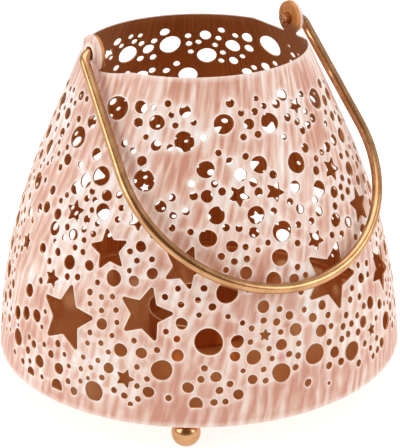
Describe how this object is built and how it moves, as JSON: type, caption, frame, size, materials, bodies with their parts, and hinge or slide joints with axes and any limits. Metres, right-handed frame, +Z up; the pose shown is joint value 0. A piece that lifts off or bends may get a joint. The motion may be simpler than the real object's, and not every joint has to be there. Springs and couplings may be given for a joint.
{
  "type": "candle lantern",
  "caption": "Bell-shaped punched sheet-metal tealight lantern with star and round cut-outs, a swinging wire bail and ball feet.",
  "frame": {"origin": "on the ground under the centre of the base", "axes": "+Z up along the wall's axis; +X through one ear, -X through the other; the bail hangs down on the -Y side"},
  "size_m": [0.156, 0.156, 0.136],
  "materials": {
    "wall": "pale pink lacquer with white wash outside, copper-brown gloss inside",
    "floor": "copper-brown gloss lacquer",
    "gold": "warm gold satin lacquer on iron"
  },
  "bodies": {
    "lantern": {"shell": "wall", "base_plate": "floor", "tealight_cup": "floor", "foot_1": "gold", "foot_2": "gold", "foot_3": "gold"},
    "bail": {"bail": "gold"}
  },
  "joints": [
    {"name": "bail_swing", "type": "hinge", "parent": "lantern", "child": "bail", "pos_m": [0, 0, 0.1295], "axis": [-1, 0, 0], "range_deg": [0, 270.1]}
  ]
}
